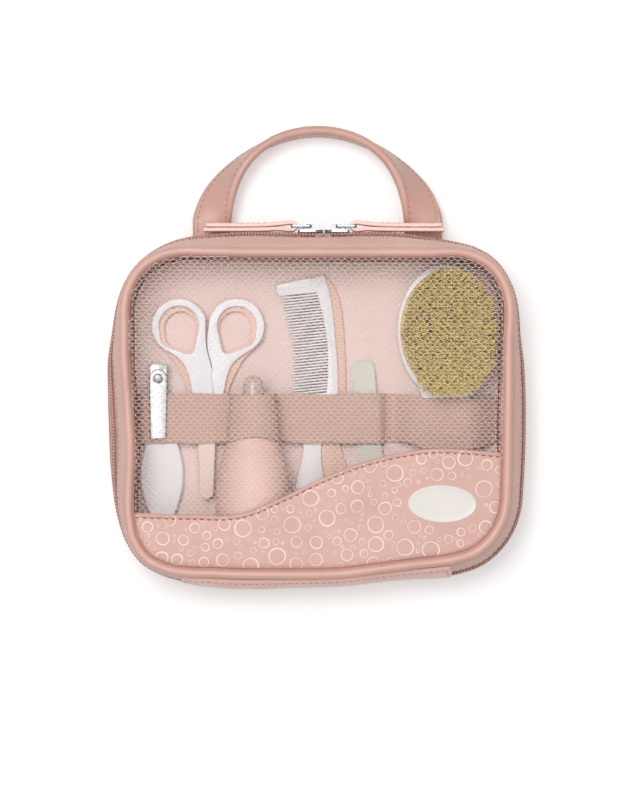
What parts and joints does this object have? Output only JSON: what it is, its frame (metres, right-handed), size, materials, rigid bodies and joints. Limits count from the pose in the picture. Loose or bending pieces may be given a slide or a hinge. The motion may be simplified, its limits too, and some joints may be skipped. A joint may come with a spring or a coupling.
{
  "type": "baby grooming kit",
  "caption": "Zipped case with a net window, lower panel, carrying strap and hinged lid, holding baby clipper, scissors, comb, files, brush and nasal aspirator under an elastic band.",
  "frame": {"origin": "centre of the flat back that the case rests on", "axes": "+X to the right of the front, +Y towards the carrying strap, +Z out of the front window"},
  "size_m": [0.2042, 0.2277, 0.05],
  "materials": {
    "case_leatherette": "satin, fine grain",
    "piping_leatherette": "satin, smooth",
    "strap_leatherette": "satin, fine grain",
    "lining_fabric": "woven",
    "padding_foam": "foam",
    "board": "matt",
    "elastic": "ribbed knit",
    "net": "open diamond net",
    "zip_tape": "woven",
    "zip_coil": "satin",
    "zip_metal": "bright",
    "clipper_steel": "polished",
    "blade_steel": "satin",
    "white_plastic": "satin",
    "peach_plastic": "satin",
    "cream_plastic": "satin",
    "bulb_rubber": "soft matt",
    "clear_plastic": "clear",
    "file_board": "fine grit",
    "bristle": "natural bristle"
  },
  "bodies": {
    "case": {"back_panel": "case_leatherette", "back_board": "board", "back_padding": "padding_foam", "back_lining": "lining_fabric", "piping_back": "piping_leatherette", "gusset_back": "case_leatherette", "zip_tape_back": "zip_tape", "zip_coil_back": "zip_coil", "hinge_strip_back": "case_leatherette", "elastic_band": "elastic", "handle_ends": "strap_leatherette"},
    "lid": {"piping_lid": "piping_leatherette", "gusset_lid": "case_leatherette", "zip_tape_lid": "zip_tape", "zip_coil_lid": "zip_coil", "hinge_strip_lid": "case_leatherette", "mesh_window": "net", "lower_panel": "case_leatherette"},
    "slider_left": {"slider_left": "zip_metal"},
    "slider_right": {"slider_right": "zip_metal"},
    "pull_left": {"pull_link_left": "zip_metal", "pull_tab_left": "strap_leatherette"},
    "pull_right": {"pull_link_right": "zip_metal", "pull_tab_right": "strap_leatherette"},
    "handle": {"handle_strap": "strap_leatherette"},
    "clipper": {"clipper_lower_jaw": "clipper_steel", "clipper_pin": "clipper_steel", "clipper_rivet": "clipper_steel", "clipper_grip": "white_plastic"},
    "clipper_jaw": {"clipper_upper_jaw": "clipper_steel"},
    "clipper_lever": {"clipper_lever": "clipper_steel"},
    "scissors": {"scissors_blade_a": "blade_steel", "scissors_handle_a": "white_plastic", "scissors_underlay_a": "peach_plastic", "scissors_screw": "blade_steel"},
    "scissors_half": {"scissors_blade_b": "blade_steel", "scissors_handle_b": "white_plastic", "scissors_underlay_b": "peach_plastic"},
    "cap": {"blade_cap": "cream_plastic"},
    "aspirator": {"aspirator_bulb": "bulb_rubber", "aspirator_nozzle": "clear_plastic"},
    "comb": {"comb_front": "white_plastic", "comb_back": "peach_plastic"},
    "file_1": {"nail_file_1": "file_board"},
    "file_2": {"nail_file_2": "file_board"},
    "file_3": {"nail_file_3": "file_board"},
    "file_4": {"nail_file_4": "file_board"},
    "brush": {"brush_body": "white_plastic", "brush_bristles": "bristle"}
  },
  "joints": [
    {"name": "lid_hinge", "type": "hinge", "parent": "case", "child": "lid", "pos_m": [0, -0.0878, 0.025], "axis": [1, 0, 0], "range_deg": [0, 180]},
    {"name": "slider_left_travel", "type": "slide", "parent": "case", "child": "slider_left", "axis": [-1, 0, 0], "range_m": [0, 0.024]},
    {"name": "slider_right_travel", "type": "slide", "parent": "case", "child": "slider_right", "axis": [1, 0, 0], "range_m": [0, 0.024]},
    {"name": "pull_left_swing", "type": "hinge", "parent": "slider_left", "child": "pull_left", "pos_m": [-0.0034, 0.09035, 0.025], "axis": [0, 0, -1], "range_deg": [0, 120]},
    {"name": "pull_right_swing", "type": "hinge", "parent": "slider_right", "child": "pull_right", "pos_m": [0.0095, 0.09035, 0.025], "axis": [0, 0, 1], "range_deg": [0, 120]},
    {"name": "handle_fold", "type": "hinge", "parent": "case", "child": "handle", "pos_m": [0, 0.0935, 0.012], "axis": [1, 0, 0], "range_deg": [0, 70]},
    {"name": "clipper_slide", "type": "slide", "parent": "case", "child": "clipper", "axis": [0, 1, 0], "range_m": [0, 0.0045]},
    {"name": "clipper_jaw_press", "type": "hinge", "parent": "clipper", "child": "clipper_jaw", "pos_m": [-0.0783, -0.01, 0.01085], "axis": [-1, 0, 0], "range_deg": [0, 1.5], "stiffness_Nm_per_rad": 0.5},
    {"name": "clipper_lever_swivel", "type": "hinge", "parent": "clipper", "child": "clipper_lever", "pos_m": [-0.0783, 0.016, 0.016], "axis": [0, 0, 1], "range_deg": [0, 180]},
    {"name": "scissors_slide", "type": "slide", "parent": "case", "child": "scissors", "axis": [0, 1, 0], "range_m": [0, 0.02]},
    {"name": "scissors_pivot", "type": "hinge", "parent": "scissors", "child": "scissors_half", "pos_m": [-0.054, 0.001, 0.0113], "axis": [0, 0, -1], "range_deg": [0, 3]},
    {"name": "cap_slide", "type": "slide", "parent": "scissors", "child": "cap", "axis": [0, -1, 0], "range_m": [0, 0.028]},
    {"name": "aspirator_slide", "type": "slide", "parent": "case", "child": "aspirator", "axis": [0, -1, 0], "range_m": [0, 0.006]},
    {"name": "comb_slide", "type": "slide", "parent": "case", "child": "comb", "axis": [0, 1, 0], "range_m": [0, 0.008]},
    {"name": "file_1_slide", "type": "slide", "parent": "case", "child": "file_1", "axis": [-0.0802, 0.9968, 0], "range_m": [0, 0.035]},
    {"name": "file_2_slide", "type": "slide", "parent": "case", "child": "file_2", "axis": [-0.0802, 0.9968, 0], "range_m": [0, 0.035]},
    {"name": "file_3_slide", "type": "slide", "parent": "case", "child": "file_3", "axis": [-0.0802, 0.9968, 0], "range_m": [0, 0.035]},
    {"name": "file_4_slide", "type": "slide", "parent": "case", "child": "file_4", "axis": [-0.0802, 0.9968, 0], "range_m": [0, 0.035]},
    {"name": "brush_slide", "type": "slide", "parent": "case", "child": "brush", "axis": [0, 1, 0], "range_m": [0, 0.004]}
  ]
}
